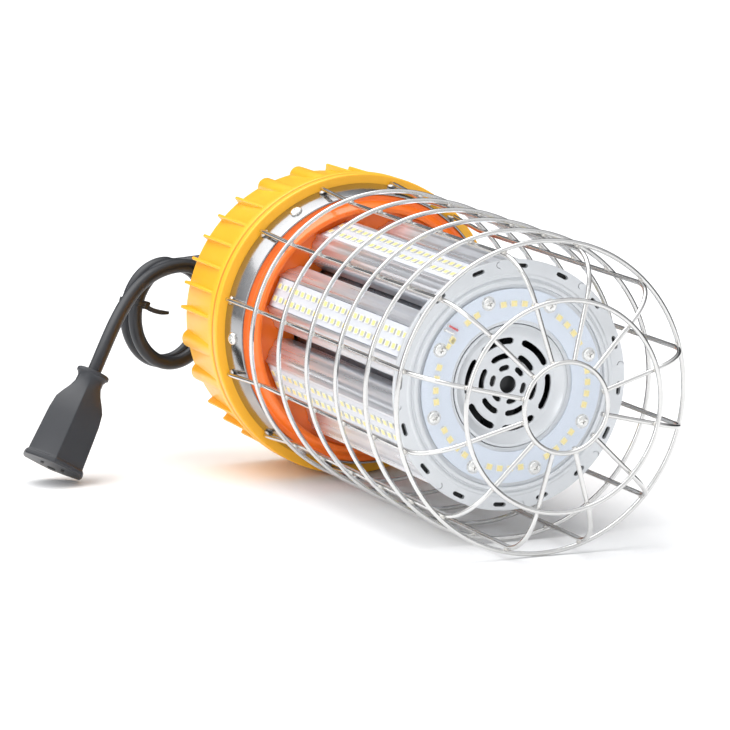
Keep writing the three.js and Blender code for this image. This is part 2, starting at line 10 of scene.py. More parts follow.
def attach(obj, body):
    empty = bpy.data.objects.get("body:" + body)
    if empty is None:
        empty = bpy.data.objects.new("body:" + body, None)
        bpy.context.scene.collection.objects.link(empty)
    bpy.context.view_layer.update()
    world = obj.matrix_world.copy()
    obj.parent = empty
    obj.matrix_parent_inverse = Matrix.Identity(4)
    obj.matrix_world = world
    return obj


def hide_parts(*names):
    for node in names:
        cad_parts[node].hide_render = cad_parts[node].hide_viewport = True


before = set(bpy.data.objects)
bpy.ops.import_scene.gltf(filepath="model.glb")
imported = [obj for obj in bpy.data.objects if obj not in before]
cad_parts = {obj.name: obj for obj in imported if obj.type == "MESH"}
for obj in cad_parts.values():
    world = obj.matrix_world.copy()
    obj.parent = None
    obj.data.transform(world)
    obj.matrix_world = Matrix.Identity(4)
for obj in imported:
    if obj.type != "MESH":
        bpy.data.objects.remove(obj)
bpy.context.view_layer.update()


# ------------------------------------------------------------------ camera
# A long lens from the light's left and a little above it, looking past the nose along the cage.
camera = bpy.data.objects.new("camera", bpy.data.cameras.new("camera"))
camera.location = (-0.9392, -2.1279, 0.4690)
camera.rotation_euler = (math.radians(90 - 9.64), 0, math.radians(-23.28))
camera.data.lens = 207.45
camera.data.sensor_width = 36
camera.data.clip_start = 0.1
camera.data.clip_end = 50
bpy.context.collection.objects.link(camera)
bpy.context.scene.camera = camera


# ------------------------------------------------------------------ link cord
# A short black rubber cord leaves the gland on the back, makes two turns and a bit in a tied coil
# behind the housing, and hangs down in front of it to a moulded outlet that rests on the floor.
def build_grain_group():
    """Soft blotches and fine grit, as a tone from 0 to 1 and a height for a bump."""
    group = bpy.data.node_groups.new("grain", "ShaderNodeTree")
    for name, kind, value in (
        ("Scale", "NodeSocketFloat", 60.0),
        ("Fine Scale", "NodeSocketFloat", 900.0),
        ("Stretch", "NodeSocketVector", (1.0, 1.0, 1.0)),
    ):
        socket = group.interface.new_socket(name, in_out="INPUT", socket_type=kind)
        socket.default_value = value
    for name in ("Tone", "Height"):
        group.interface.new_socket(name, in_out="OUTPUT", socket_type="NodeSocketFloat")
    nodes, links = group.nodes, group.links
    given, out = nodes.new("NodeGroupInput"), nodes.new("NodeGroupOutput")
    coords = nodes.new("ShaderNodeTexCoord")
    stretch = nodes.new("ShaderNodeVectorMath")
    stretch.operation = "MULTIPLY"
    links.new(coords.outputs["Object"], stretch.inputs[0])
    links.new(given.outputs["Stretch"], stretch.inputs[1])
    broad, fine = nodes.new("ShaderNodeTexNoise"), nodes.new("ShaderNodeTexNoise")
    broad.inputs["Detail"].default_value = 4
    fine.inputs["Detail"].default_value = 2
    for noise, size in ((broad, "Scale"), (fine, "Fine Scale")):
        links.new(stretch.outputs[0], noise.inputs["Vector"])
        links.new(given.outputs[size], noise.inputs["Scale"])
    both = nodes.new("ShaderNodeMix")
    both.inputs["Factor"].default_value = 0.4
    links.new(broad.outputs["Fac"], both.inputs[2])
    links.new(fine.outputs["Fac"], both.inputs[3])
    clear = nodes.new("ShaderNodeMapRange")
    clear.inputs["From Min"].default_value = 0.3
    clear.inputs["From Max"].default_value = 0.7
    links.new(both.outputs[0], clear.inputs["Value"])
    links.new(clear.outputs["Result"], out.inputs["Tone"])
    links.new(fine.outputs["Fac"], out.inputs["Height"])
    return group


grain_group = build_grain_group()


def surface(name, colour, roughness, spread=0.06, tint=0.12, grain=60, fine=900,
            bump=0.1, depth=0.0002, stretch=(1, 1, 1), **sockets):
    """A material whose tone, gloss and relief follow the grain group."""
    material = bpy.data.materials.new(name)
    material.use_nodes = True
    nodes, links = material.node_tree.nodes, material.node_tree.links
    shader = nodes["Principled BSDF"]
    texture = nodes.new("ShaderNodeGroup")
    texture.node_tree = grain_group
    texture.inputs["Scale"].default_value = grain
    texture.inputs["Fine Scale"].default_value = fine
    texture.inputs["Stretch"].default_value = stretch
    tone = nodes.new("ShaderNodeMix")
    tone.data_type = "RGBA"
    tone.inputs[6].default_value = (*[c * (1 - tint) for c in colour], 1)
    tone.inputs[7].default_value = (*[min(c * (1 + tint), 1) for c in colour], 1)
    gloss = nodes.new("ShaderNodeMapRange")
    gloss.inputs["To Min"].default_value = max(roughness - spread, 0.02)
    gloss.inputs["To Max"].default_value = roughness + spread
    relief = nodes.new("ShaderNodeBump")
    relief.inputs["Strength"].default_value = bump
    relief.inputs["Distance"].default_value = depth
    links.new(texture.outputs["Tone"], tone.inputs[0])
    links.new(tone.outputs[2], shader.inputs["Base Color"])
    links.new(texture.outputs["Tone"], gloss.inputs["Value"])
    links.new(gloss.outputs["Result"], shader.inputs["Roughness"])
    links.new(texture.outputs["Height"], relief.inputs["Height"])
    links.new(relief.outputs["Normal"], shader.inputs["Normal"])
    for socket, value in sockets.items():
        shader.inputs[socket.replace("_", " ")].default_value = value
    return material


def round_angles(count):
    """Angles spread evenly round a circle."""
    return [2 * math.pi * k / count for k in range(count)]


class Shape:
    """The points and faces of one piece, gathered shell by shell."""

    def __init__(self):
        self.points = []
        self.faces = []

    def loft(self, rings, loop=False, caps=True):
        """Joins closed rings of equal length, end to end or round in a loop."""
        first, count = len(self.points), len(rings[0])
        for ring in rings:
            self.points.extend(ring)
        spans = len(rings) if loop else len(rings) - 1
        for span in range(spans):
            here = first + span * count
            there = first + (span + 1) % len(rings) * count
            for i in range(count):
                j = (i + 1) % count
                self.faces.append((here + i, here + j, there + j, there + i))
        if caps and not loop:
            last = first + (len(rings) - 1) * count
            self.faces.append(tuple(first + i for i in reversed(range(count))))
            self.faces.append(tuple(last + i for i in range(count)))
        return self

    def copy_of(self, points, faces, matrix):
        """Adds a ready-made little shape at another place."""
        first = len(self.points)
        self.points.extend(matrix @ p for p in points)
        self.faces.extend(tuple(first + i for i in face) for face in faces)
        return self


def piece(name, shape, material, body, replaces=(), sharp=32, bevel=0.0, segments=2):
    """Makes a shape an object that rides on a body and takes its finish from a slot."""
    mesh = bpy.data.meshes.new(name)
    mesh.from_pydata([tuple(p) for p in shape.points], [], shape.faces)
    work = bmesh.new()
    work.from_mesh(mesh)
    bmesh.ops.recalc_face_normals(work, faces=work.faces)
    for face in work.faces:
        face.smooth = True
    for edge in work.edges:
        if len(edge.link_faces) == 2:
            edge.smooth = edge.calc_face_angle() < math.radians(sharp)
    work.to_mesh(mesh)
    work.free()
    mesh.materials.append(material)
    made = bpy.data.objects.new(name, mesh)
    bpy.context.collection.objects.link(made)
    if bevel:
        rounding = made.modifiers.new("rounding", "BEVEL")
        rounding.width = bevel
        rounding.segments = segments
        rounding.limit_method = "ANGLE"
        rounding.angle_limit = math.radians(sharp)
    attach(made, body)
    if replaces:
        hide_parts(*replaces)
    return made


def path_through(points, per_span):
    """A smooth line through its points (Catmull-Rom), with per_span steps between each two."""
    ends = [points[0] * 2 - points[1], *points, points[-1] * 2 - points[-2]]
    line = []
    for a, b, c, d in zip(ends, ends[1:], ends[2:], ends[3:]):
        for step in range(per_span):
            t = step / per_span
            line.append(0.5 * (2 * b + (c - a) * t + (2 * a - 5 * b + 4 * c - d) * t * t
                               + (3 * b - a - 3 * c + d) * t ** 3))
    return [*line, points[-1].copy()]


def even_steps(line, step):
    """The same line with points an even distance apart."""
    marks = [0.0]
    for a, b in zip(line, line[1:]):
        marks.append(marks[-1] + (b - a).length)
    count = max(int(marks[-1] / step), 2)
    evened, at = [], 0
    for i in range(count + 1):
        want = marks[-1] * i / count
        while at < len(marks) - 2 and marks[at + 1] < want:
            at += 1
        share = (want - marks[at]) / max(marks[at + 1] - marks[at], 1e-12)
        evened.append(line[at].lerp(line[at + 1], min(share, 1)))
    return evened


cord_across = 0.0081
coil_middle = Vector((-0.078, 0.1704, 0.0835))
coil_axis = Vector((-0.225, 0.974, 0)).normalized()  # towards the back
coil_left = Vector((-0.974, -0.225, 0)).normalized()
coil_radius = 0.0291


def coil_point(turn, radius, back):
    """A place in the coil: turn is counter-clockwise from its right, as seen from the front."""
    angle = math.radians(turn)
    out = Vector((0, 0, 1)) * math.sin(angle) - coil_left * (0.90 * math.cos(angle) + 0.05)
    return coil_middle + out * radius + coil_axis * back


cord_exit = Vector((-0.0459, 0.15417, 0.11046))
gland_way = Vector((0, 0.99993, 0.0119))
route = [cord_exit + gland_way * along for along in (-0.002, 0.002, 0.006)]
route.append(Vector((-0.0475, 0.1660, 0.1122)))
route.append(Vector((-0.0520, 0.1712, 0.1131)))
back_lane, front_lane, over_lane = 0.0046, -0.0043, -0.0126  # along the coil's axis
for turn in range(72, 432, 15):  # the first turn, at the back
    ease = min(max((turn - 330) / 100, 0), 1)
    lane = back_lane + (front_lane - back_lane) * ease * ease * (3 - 2 * ease)
    route.append(coil_point(turn, coil_radius, lane))
for turn in range(432, 732, 15):  # the second turn, in front of the first
    route.append(coil_point(turn, coil_radius, front_lane))
for turn, radius, back in (
    (738, 0.0288, -0.0056), (754, 0.0290, -0.0086), (770, 0.0293, -0.0112),
    (786, 0.0296, over_lane), (798, 0.0297, over_lane),
):
    route.append(coil_point(turn, radius, back))
neck = Vector((-0.1421, 0.1179, 0.0612))
mouth = Vector((-0.1714, 0.1083, 0.0099))
outlet_way = (mouth - neck).normalized()
leave_turn, leave_radius, leave_pull = 810, 0.0297, 0.035
neck_depth, neck_pull, tail_steps = 0.0008, 0.03, 14
leaving = coil_point(leave_turn, leave_radius, over_lane)
leaving_way = (coil_point(leave_turn + 1, leave_radius, over_lane)
               - coil_point(leave_turn - 1, leave_radius, over_lane)).normalized()
tail_end = neck + outlet_way * neck_depth
pulls = (leaving, leaving + leaving_way * leave_pull, tail_end - outlet_way * neck_pull, tail_end)
for step in range(tail_steps + 1):  # the tail, in one easy curve down to the outlet
    t = step / tail_steps
    route.append(pulls[0] * (1 - t) ** 3 + pulls[1] * 3 * t * (1 - t) ** 2
                 + pulls[2] * 3 * t * t * (1 - t) + pulls[3] * t ** 3)
cord_line = even_steps(path_through(route, 8), 0.0022)

cord_curve = bpy.data.curves.new("link_cord", "CURVE")
cord_curve.dimensions = "3D"
cord_curve.bevel_depth = cord_across / 2
cord_curve.bevel_resolution = 6
cord_curve.use_fill_caps = True
spline = cord_curve.splines.new("POLY")
spline.points.add(len(cord_line) - 1)
for slot_point, place in zip(spline.points, cord_line):
    slot_point.co = (*place, 1)
jacket = surface("cord_jacket", (0.0135, 0.0150, 0.0190), 0.36, spread=0.07, tint=0.2,
                 grain=90, fine=1500, bump=0.12, depth=0.0001)
cord_curve.materials.append(jacket)
link_cord = bpy.data.objects.new("link_cord", cord_curve)
bpy.context.collection.objects.link(link_cord)
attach(link_cord, "lamp")
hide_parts("cord_lead", "cord_coil", "cord_tail")


# Cable tie: a nylon strap pulled round the coil's two strands on its left, with a square head and
# a free tail that points out to the right across the coil's opening.
def tie_point(angle, grow):
    """Round the bundle of strands: an oval in the plane that holds the coil's axis and radius."""
    turn = math.radians(angle)
    out = (-coil_left * math.cos(math.radians(tie_turn))
           + Vector((0, 0, 1)) * math.sin(math.radians(tie_turn)))
    middle = coil_point(tie_turn, coil_radius, 0.0001)
    wide, deep = 0.0043 + grow, 0.0088 + grow
    # a rounded bundle: two strands side by side, seen end on
    c, s = math.cos(turn), math.sin(turn)
    square = (abs(c) ** 3 + abs(s) ** 3) ** (-1 / 3)
    return middle + out * wide * c * square + coil_axis * deep * s * square


tie_turn = 162.0
tie_width, tie_wall = 0.0028, 0.0011
tie_along = (coil_left * math.sin(math.radians(tie_turn))
             + Vector((0, 0, 1)) * math.cos(math.radians(tie_turn)))
strap = Shape()
strap_rings = []
for k in range(56):
    angle = 360 * k / 56
    inner, outer = tie_point(angle, 0.0), tie_point(angle, tie_wall)
    side = tie_along * (tie_width / 2)
    strap_rings.append([inner - side, inner + side, outer + side, outer - side])
strap.loft(strap_rings, loop=True)
tail_from = tie_point(-150, tie_wall * 0.5)
tail_line = []
for k in range(13):
    t = k / 12
    bow = Vector((0.0100 * t + 0.0050 * t * t, -0.0040 * t + 0.002 * t * t, -0.0100 * t * (1 - 0.45 * t)))
    tail_line.append(tail_from + bow)
tail_rings = []
for k, place in enumerate(tail_line):
    ahead = (tail_line[min(k + 1, 12)] - tail_line[max(k - 1, 0)]).normalized()
    across = ahead.cross(Vector((0, 1, 0))).normalized()
    thick = ahead.cross(across).normalized()
    half = 0.0014 * (1 - 0.35 * max(k - 9, 0) / 3)
    corners = ((-half, -0.0006), (half, -0.0006), (half, 0.0006), (-half, 0.0006))
    tail_rings.append([place + across * a + thick * b for a, b in corners])
strap.loft(tail_rings)
head_middle = tie_point(-158, 0.0022)
head_out = (tie_point(-158, 0.01) - tie_point(-158, 0.0)).normalized()
head_side = tie_along
head_up = head_out.cross(head_side).normalized()
head_rings = []
for out, half in ((-0.0022, 0.0024), (0.0016, 0.0024), (0.0024, 0.0019)):
    corners = ((-1, -1), (1, -1), (1, 1), (-1, 1))
    head_rings.append([head_middle + head_out * out + head_side * half * a + head_up * half * 0.9 * b
                       for a, b in corners])
strap.loft(head_rings)
nylon = surface("tie_nylon", (0.011, 0.012, 0.014), 0.38, spread=0.06, tint=0.2, grain=120,
                fine=1800, bump=0.08, depth=0.0001)
cable_tie = piece("cable_tie", strap, nylon, "lamp", ["cord_tie"], bevel=0.0003)


# Outlet: a black moulded socket for the next light's plug. Its flat sides meet in a ridge down the
# front, its neck has a small flange, and its mouth flares out to a rim round the contact face.
outlet_length = (mouth - neck).length
to_camera = (camera.location - neck).normalized()
outlet_right = outlet_way.cross(to_camera).normalized()
if outlet_right.x < 0:
    outlet_right.negate()
outlet_front = outlet_right.cross(outlet_way).normalized()
if outlet_front.dot(to_camera) < 0:
    outlet_front.negate()
# along, half width, half depth, squareness (1 = hexagon with a ridge in front, 0 = round)
outlet_stations = (
    (0.0000, 0.0086, 0.0068, 0.0), (0.0006, 0.0096, 0.0076, 0.0), (0.0024, 0.0098, 0.0078, 0.0),
    (0.0032, 0.0088, 0.0074, 0.0), (0.0050, 0.0079, 0.0072, 0.1), (0.0085, 0.0081, 0.0076, 0.35),
    (0.0125, 0.0098, 0.0088, 0.6), (0.0170, 0.0126, 0.0102, 0.85), (0.0220, 0.0152, 0.0118, 1.0),
    (0.0300, 0.0164, 0.0130, 1.0), (0.0420, 0.0170, 0.0138, 1.0), (0.0545, 0.0176, 0.0144, 1.0),
    (0.0562, 0.0178, 0.0148, 0.9), (0.0570, 0.0188, 0.0160, 0.7), (0.0590, 0.0190, 0.0162, 0.7),
    (0.0598, 0.0186, 0.0158, 0.7),
)
scale_along = outlet_length / 0.0598


flats_wide, flats_deep = 1.09, 1.12  # how far the flats' corners stand out


def outlet_ring(along, wide, deep, square, count=48):
    """The outlet's outline at one station: round, or a hexagon that points to the front."""
    ring = []
    for angle in round_angles(count):
        from_flat = (angle - math.pi / 2) % (math.pi / 3) - math.pi / 6
        edge = math.cos(math.pi / 6) / math.cos(from_flat)
        reach = 1 + (edge - 1) * square
        sideways = outlet_right * (wide * flats_wide ** square * math.cos(angle) * reach)
        forward = outlet_front * (deep * flats_deep ** square * math.sin(angle) * reach)
        ring.append(neck + outlet_way * along * scale_along + sideways + forward)
    return ring


outlet_shape = Shape()
outlet_shape.loft([outlet_ring(*station) for station in outlet_stations])
outlet_plastic = surface("outlet_plastic", (0.022, 0.024, 0.029), 0.42, spread=0.05, tint=0.12,
                         grain=50, fine=2200, bump=0.18, depth=0.00012)
outlet = piece("outlet", outlet_shape, outlet_plastic, "lamp", ["connector"], sharp=24,
               bevel=0.0003)
# The two slots and the round ground hole are thin near-black slabs laid on the contact face, not holes:
# painted shade that stands in for the dark inside of the openings.
slots_shape = Shape()
slot_lift = 0.0001
face_middle = neck + outlet_way * (outlet_length + 0.00015)
for across, half_w, half_d in ((-0.0063, 0.0010, 0.0032), (0.0063, 0.0010, 0.0040)):
    slots_shape.loft([[face_middle + outlet_way * lift + outlet_right * (across + a * half_w)
                       + outlet_front * (b * half_d) for a, b in ((-1, -1), (1, -1), (1, 1), (-1, 1))]
                      for lift in (-slot_lift, slot_lift)])
ground_radius, ground_below = 0.0026, 0.0085
slots_shape.loft([[face_middle + outlet_way * lift + outlet_right * ground_radius * math.cos(angle)
                   + outlet_front * (ground_radius * math.sin(angle) - ground_below)
                   for angle in round_angles(20)] for lift in (-slot_lift, slot_lift)])
# Near-black painted shade for the slot and ground-hole openings.
painted_slot_shade = surface("outlet_slots", (0.003, 0.003, 0.003), 0.7, tint=0.3)
outlet_slots = piece("outlet_slots", slots_shape, painted_slot_shade, "lamp")


# ------------------------------------------------------------------ wire cage
# Twelve bright stainless wires run forward from the band and turn in over the nose, inside six
# round hoops. Two smaller hoops lie on the bend and the wires' ends, and every crossing is welded.
ring_six = Vector((0, -0.1787374, 0.0842940))  # middle of the front hoop
tilt = math.radians(0.68152)
nose_way = Vector((0, -math.cos(tilt), -math.sin(tilt)))
lamp_up = Vector((0, -math.sin(tilt), math.cos(tilt)))
lamp_right = Vector((1, 0, 0))
roll = 16.2


def lamp(radius, clock, s, side=0.0):
    """A place on the light, from millimetres: radius and clock angle as seen from the nose, and s
    forward of the front hoop. side moves it counter-clockwise, square to the radius."""
    turn = math.radians(clock + roll)
    out = lamp_right * math.cos(turn) + lamp_up * math.sin(turn)
    round_way = lamp_up * math.cos(turn) - lamp_right * math.sin(turn)
    return ring_six + (nose_way * s + out * radius + round_way * side) * 0.001


def tube_rings(line, radius, count=12):
    """Round sections along a line of points, square to it."""
    rings = []
    normal = (line[1] - line[0]).orthogonal().normalized()
    for i, place in enumerate(line):
        ahead = (line[min(i + 1, len(line) - 1)] - line[max(i - 1, 0)]).normalized()
        normal = (normal - ahead * normal.dot(ahead)).normalized()
        other = ahead.cross(normal)
        rings.append([place + (normal * math.cos(a) + other * math.sin(a)) * radius
                      for a in round_angles(count)])
    return rings


def hoop(shape, radius, s, count=120, sides=12):
    """A wire bent to a circle that is square to the light's axis."""
    shape.loft([[lamp(radius + wire_r * math.cos(a), 360 * k / count, s + wire_r * math.sin(a))
                 for a in round_angles(sides)] for k in range(count)], loop=True)


def bead(shape, middle, wide, high, way):
    """A weld: a low round lump that spreads across two wires."""
    way = way.normalized()
    first = way.orthogonal().normalized()
    second = way.cross(first)
    rings = []
    for step in range(5):
        lift = -0.85 + 1.7 * step / 4
        grow = math.sqrt(max(1 - lift * lift, 0.05))
        centre, reach = middle + way * high * lift, wide * grow
        rings.append([centre + (first * math.cos(a) + second * math.sin(a)) * reach
                      for a in round_angles(8)])
    shape.loft(rings)


wire_r = 1.3
bright_wire = surface("bright_wire", (0.66, 0.655, 0.645), 0.17, spread=0.05, tint=0.05, grain=160,
                      fine=1200, bump=0.05, depth=0.00008, Metallic=1.0)
weld_metal = surface("weld_metal", (0.62, 0.60, 0.57), 0.34, spread=0.1, tint=0.25, grain=500,
                     fine=3000, bump=0.3, depth=0.00015, Metallic=1.0)
wire_radius, band_wire_radius, dome_bend = 80.1, 83.6, 23.7
back_hoop, hoop_pitch, hoop_radius = -201.0, 40.2, 83.0
dome_hoop_radius, dome_hoop_s = 55.8, 26.6
nose_hoop_radius, nose_hoop_s = 23.9, 28.9
for number in range(1, 13):
    clock = 30 * (number - 1)
    profile = [(band_wire_radius - 0.2, -242.9), (band_wire_radius, -241.0), (82.9, -232.0), (81.9, -220.0),
               (80.9, -208.0), (80.3, -202.0), (wire_radius, -197.0)]
    profile += [(wire_radius, -200 + 20 * k) for k in range(1, 11)]
    for step in range(1, 13):
        turn = math.radians(90 * step / 12)
        profile.append((wire_radius - dome_bend * (1 - math.cos(turn)), dome_bend * math.sin(turn)))
    profile += [(44.0, 24.4), (32.0, 25.3), (22.6, 26.0)]
    shape = Shape()
    shape.loft(tube_rings([lamp(r, clock, s) for r, s in profile], wire_r * 0.001, 12))
    piece(f"cage_wire_bright_{number}", shape, bright_wire, "lamp", [f"cage_wire_{number}"],
          sharp=60)
for number in range(1, 7):
    shape = Shape()
    hoop(shape, hoop_radius, back_hoop + (number - 1) * hoop_pitch)
    piece(f"cage_hoop_{number}", shape, bright_wire, "lamp", [f"cage_ring_{number}"], sharp=60)
dome_hoop = Shape()
hoop(dome_hoop, dome_hoop_radius, dome_hoop_s)
piece("cage_dome_hoop", dome_hoop, bright_wire, "lamp", ["dome_ring"], sharp=60)
nose_hoop = Shape()
hoop(nose_hoop, nose_hoop_radius, nose_hoop_s, 80)
piece("cage_nose_hoop", nose_hoop, bright_wire, "lamp", ["nose_ring"], sharp=60)
welds = Shape()
for number in range(12):
    clock = 30 * number
    outward = lamp(10, clock, 0) - lamp(0, clock, 0)
    for ring in range(6):
        bead(welds, lamp(81.6, clock, back_hoop + ring * hoop_pitch), 0.0016, 0.0011, outward)
    bead(welds, lamp(dome_hoop_radius, clock, dome_hoop_s - 1.4), 0.0016, 0.0011, nose_way)
    bead(welds, lamp(nose_hoop_radius, clock, nose_hoop_s - 1.4), 0.0016, 0.0011, nose_way)
    bead(welds, lamp(81.9, clock, -241.4), 0.0027, 0.0011, outward)
piece("cage_welds", welds, weld_metal, "lamp", sharp=50)


# ------------------------------------------------------------------ band and its screws
# A polished stainless strip, rolled round the collar. Six cross-head screws hold it, each in a
# shallow dimple, and the cage wires are spot welded to its outside.
def rounded(outline, reach, steps=3):
    """The outline with each sharp corner turned into a small arc."""
    turned = []
    count = len(outline)
    for i in range(count):
        before, here, after = (Vector(outline[(i + k) % count]) for k in (-1, 0, 1))
        a, b = before - here, after - here
        if a.length < 1e-9 or b.length < 1e-9 or abs(a.normalized().dot(b.normalized())) > 0.985:
            turned.append(tuple(here))
            continue
        cut = min(reach, a.length * 0.42, b.length * 0.42)
        start, end = here + a.normalized() * cut, here + b.normalized() * cut
        for k in range(steps + 1):
            t = k / steps
            turned.append(tuple(start * (1 - t) ** 2 + here * 2 * t * (1 - t) + end * t * t))
    return turned


def turn_round(outline, reach=0.0, count=144, shape=None, steps=3):
    """A turned shape: the outline's points are radius and s, going round its section."""
    shape = shape or Shape()
    section = rounded(outline, reach, steps) if reach else outline
    rings = [[lamp(r, 360 * k / count, s) for r, s in section] for k in range(count)]
    return shape.loft(rings, loop=True)


def cut_with(made, cutter):
    """Cuts a shape out of a piece and keeps the result as its mesh."""
    mesh = bpy.data.meshes.new("cutter")
    mesh.from_pydata([tuple(p) for p in cutter.points], [], cutter.faces)
    work = bmesh.new()
    work.from_mesh(mesh)
    bmesh.ops.recalc_face_normals(work, faces=work.faces)
    work.to_mesh(mesh)
    work.free()
    tool = bpy.data.objects.new("cutter", mesh)
    bpy.context.collection.objects.link(tool)
    cutting = made.modifiers.new("cut", "BOOLEAN")
    cutting.operation = "DIFFERENCE"
    cutting.solver = "EXACT"
    cutting.object = tool
    bpy.context.view_layer.update()
    result = bpy.data.meshes.new_from_object(made.evaluated_get(bpy.context.evaluated_depsgraph_get()))
    made.modifiers.remove(cutting)
    made.data = result
    bpy.data.objects.remove(tool)
    work = bmesh.new()
    work.from_mesh(result)
    for edge in work.edges:
        if len(edge.link_faces) == 2:
            edge.smooth = edge.calc_face_angle() < math.radians(32)
    work.to_mesh(result)
    work.free()


def cross_head(radius, height, cross, depth):
    """A pan-head screw's head with a cross recess, flat side down at the origin, pointing up +Z."""
    shape = Shape()
    profile = [(radius, 0.0), (radius, height * 0.35), (radius * 0.94, height * 0.66),
               (radius * 0.78, height * 0.88), (radius * 0.5, height), (radius * 0.22, height * 1.02)]
    shape.loft([[Vector((r * math.cos(a), r * math.sin(a), z)) for a in round_angles(24)]
                for r, z in profile])
    mesh = bpy.data.meshes.new("screw")
    mesh.from_pydata([tuple(p) for p in shape.points], [], shape.faces)
    head = bpy.data.objects.new("screw", mesh)
    bpy.context.collection.objects.link(head)
    arm, waist = cross, cross * 0.30
    tip = waist * 0.7
    outline = [(arm, -tip), (arm, tip), (waist, waist), (tip, arm), (-tip, arm), (-waist, waist),
               (-arm, tip), (-arm, -tip), (-waist, -waist), (-tip, -arm), (tip, -arm), (waist, -waist)]
    recess = Shape()
    recess.loft([[Vector((x * k, y * k, z)) for x, y in outline]
                 for z, k in ((height - depth, 0.55), (height * 1.3, 1.1))])
    cut_with(head, recess)
    points = [v.co.copy() for v in head.data.vertices]
    faces = [tuple(f.vertices) for f in head.data.polygons]
    bpy.data.objects.remove(head)
    return points, faces


def upright(place, way, turn=0.0, scale=1.0):
    """Where a little shape that points up +Z goes: at a place, pointing a way, turned about it."""
    spin = way.normalized().to_track_quat("Z", "Y").to_matrix().to_4x4()
    about = Matrix.Rotation(math.radians(turn), 4, "Z")
    return Matrix.Translation(place) @ spin @ about @ Matrix.Scale(scale, 4)


polished = surface("polished_band", (0.40, 0.40, 0.405), 0.16, spread=0.05, tint=0.06, grain=45,
                   fine=500, bump=0.10, depth=0.0002, stretch=(1, 1, 1), Metallic=1.0)
band_back, band_front, band_wall = -244.5, -228.5, 1
band_radius, band_mouth = 82, 78.2
band_shape = turn_round([(band_radius - band_wall, band_back), (band_radius, band_back),
                         (band_mouth, band_front), (band_mouth - band_wall, band_front)], 0.3)
piece("band", band_shape, polished, "lamp", ["cage_band"])
screw_points, screw_faces = cross_head(0.0036, 0.0019, 0.0017, 0.0013)
screw_steel = surface("screw_steel", (0.80, 0.79, 0.76), 0.2, spread=0.06, tint=0.1, grain=300, bump=0.1,
                      Metallic=1.0)
screws = Shape()
screw_seat, screw_s, screw_tilt = 80.1, -236.5, 2.4  # tilt: forward for each 10 mm outward
for k in range(6):
    clock = 45 + 60 * k
    out = lamp(10, clock, 0) - lamp(0, clock, -screw_tilt)
    screws.copy_of(screw_points, screw_faces, upright(lamp(screw_seat, clock, screw_s), out, 20 + 37 * k))
piece("band_screws", screws, screw_steel, "lamp", sharp=35)


# ------------------------------------------------------------------ flange, seal and rear housing
# The housing is moulded in yellow nylon in two pieces that clamp an orange silicone ring. Ribs and
# paired lobes round its back half are for grip, and carry the screws that close it.
yellow = surface("yellow_nylon", (1.0, 0.475, 0.018), 0.40, spread=0.05, tint=0.035, grain=40, fine=2600,
                 bump=0.10, depth=0.00012, Coat_Weight=0.12, Coat_Roughness=0.25,
                 Subsurface_Weight=0.06, Subsurface_Radius=(0.004, 0.002, 0.0006))
rim_radius = 87.3
flange_back, flange_front, flange_bore = -250.1, -244.8, 62
flange_shape = turn_round([(flange_bore, flange_back), (rim_radius, flange_back),
                           (rim_radius, flange_front), (flange_bore, flange_front)], 1.1, steps=4)
piece("flange", flange_shape, yellow, "lamp", ["flange_ring"])
silicone = surface("orange_silicone", (0.86, 0.23, 0.006), 0.5, spread=0.06, tint=0.08, grain=60, bump=0.06)
seal_bore, seal_radius = 77, 87.0
seal_shape = turn_round([(seal_bore, -252.1), (seal_radius, -252.1), (seal_radius, -250.2),
                         (seal_bore, -250.2)], 0.3)
piece("seal", seal_shape, silicone, "lamp", ["seal_ring"])

housing_back, housing_floor, housing_front, rim_back = -307.2, -302.7, -252.2, -258.2
axis_hole = 0.05  # closes the back plate round the axis
shell = turn_round([
    (axis_hole, housing_floor), (axis_hole, housing_back), (81.5, housing_back), (85.0, rim_back),
    (rim_radius, rim_back), (rim_radius, housing_front), (77, housing_front), (77, housing_floor),
], 1.0, steps=4)


def rib_bar(shape, clock, half, low, high, s_back, s_front, taper):
    """A straight rib along the light's axis, a little lower at its back end and narrower on top."""
    shape.loft([[lamp(low, clock, s, -half), lamp(low, clock, s, half),
                 lamp(high - drop, clock, s, half * 0.8), lamp(high - drop, clock, s, -half * 0.8)]
                for s, drop in ((s_back, taper), (s_front, 0.0))])


lobe_middle, lobe_apart = 80.4, 7.4
lobe_sections = ((-306.2, 4.4), (-305.6, 5.0), (-304.8, 5.4), (-258.4, 5.4))  # s, lobe radius
for notch in (0, 90, 180, 270):
    for side in (-1, 1):
        clock = notch + side * lobe_apart
        shell.loft([[lamp(lobe_middle + radius * math.cos(a), clock, s, radius * math.sin(a))
                     for a in round_angles(28)] for s, radius in lobe_sections])
    for rib in (-24.5, -14.7, -4.9, 4.9, 14.7, 24.5):
        rib_bar(shell, notch + 45 + rib, 1.15, 78, 86.0, -305.7, -257.6, 0.3)
piece("housing_shell", shell, yellow, "lamp", ["rear_housing"], sharp=34, bevel=0.0007,
      segments=3)


# ------------------------------------------------------------------ collar
# A glossy orange moulding that fills the band, steps in to a lower boss, and seats the columns. A
# thin web runs on behind them, nearly to the core tube, and closes the gaps between the columns.
orange = surface("orange_plastic", (0.98, 0.175, 0.008), 0.30, spread=0.05, tint=0.04, grain=40, fine=2200,
                 bump=0.08, depth=0.0001, Coat_Weight=0.3, Coat_Roughness=0.15,
                 Subsurface_Weight=0.05, Subsurface_Radius=(0.004, 0.001, 0.0004))
collar_bore, web_bore = 62, 46.2
step_s, boss_s, floor_s, web_s = -229.0, -222.0, -227.6, -229.4
collar_shape = turn_round([
    (collar_bore, band_back), (80.7, band_back), (77.0, step_s), (74.0, step_s), (71.0, boss_s),
    (68.2, boss_s), (68.2, floor_s), (web_bore, floor_s), (web_bore, web_s), (collar_bore, web_s),
], 0.9, steps=4)
piece("collar_moulding", collar_shape, orange, "lamp", ["collar"])


